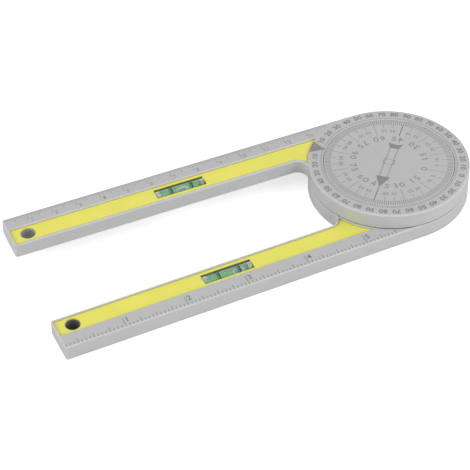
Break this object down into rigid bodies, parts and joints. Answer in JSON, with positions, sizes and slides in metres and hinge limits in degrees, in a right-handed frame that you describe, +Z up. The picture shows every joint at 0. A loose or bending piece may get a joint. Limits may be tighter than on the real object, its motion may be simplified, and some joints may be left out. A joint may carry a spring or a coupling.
{
  "type": "angle finder with arms",
  "caption": "Two flat ruled arms that turn on a round dial to read an angle and its cuts, each with a small spirit vial and a hang hole.",
  "frame": {"origin": "on the pivot axis, in the plane of the underside that the tool rests on", "axes": "+Z up along the pivot axis; the lower arm points along -X with its ruled edge at -Y; the upper arm lies at +Y"},
  "size_m": [0.1849, 0.0686, 0.0135],
  "materials": {
    "grey_plastic": "satin moulded grey",
    "dial_plastic": "satin moulded grey",
    "yellow_label": "satin printed film",
    "clear_acrylic": "clear polished",
    "plug_plastic": "translucent white",
    "green_fluid": "clear green",
    "air_bubble": "clear",
    "washer_nylon": "natural nylon",
    "spring_steel": "bright spring steel",
    "zinc_steel": "zinc plated"
  },
  "bodies": {
    "lower_half": {"lower_arm": "grey_plastic", "dial_disc": "dial_plastic", "dial_screws": "zinc_steel", "thrust_washer": "washer_nylon", "glide_washer": "washer_nylon", "spring_washer": "spring_steel", "lower_label": "yellow_label", "lower_vial_tube": "clear_acrylic", "lower_vial_tip_plug": "plug_plastic", "lower_vial_dial_plug": "plug_plastic", "lower_vial_fluid": "green_fluid"},
    "upper_half": {"upper_arm": "grey_plastic", "upper_label": "yellow_label", "upper_vial_tube": "clear_acrylic", "upper_vial_tip_plug": "plug_plastic", "upper_vial_dial_plug": "plug_plastic", "upper_vial_fluid": "green_fluid"},
    "lower_bubble": {"lower_vial_bubble": "air_bubble"},
    "upper_bubble": {"upper_vial_bubble": "air_bubble"}
  },
  "joints": [
    {"name": "arm_pivot", "type": "hinge", "parent": "lower_half", "child": "upper_half", "pos_m": [0, 0, 0.0083], "axis": [0, 0, 1], "continuous": true},
    {"name": "lower_bubble_slide", "type": "slide", "parent": "lower_half", "child": "lower_bubble", "axis": [1, 0, 0], "range_m": [-0.0107, 0.0013]},
    {"name": "upper_bubble_slide", "type": "slide", "parent": "upper_half", "child": "upper_bubble", "axis": [0.9997, -0.0262, 0], "range_m": [-0.0068, 0.0052]}
  ]
}
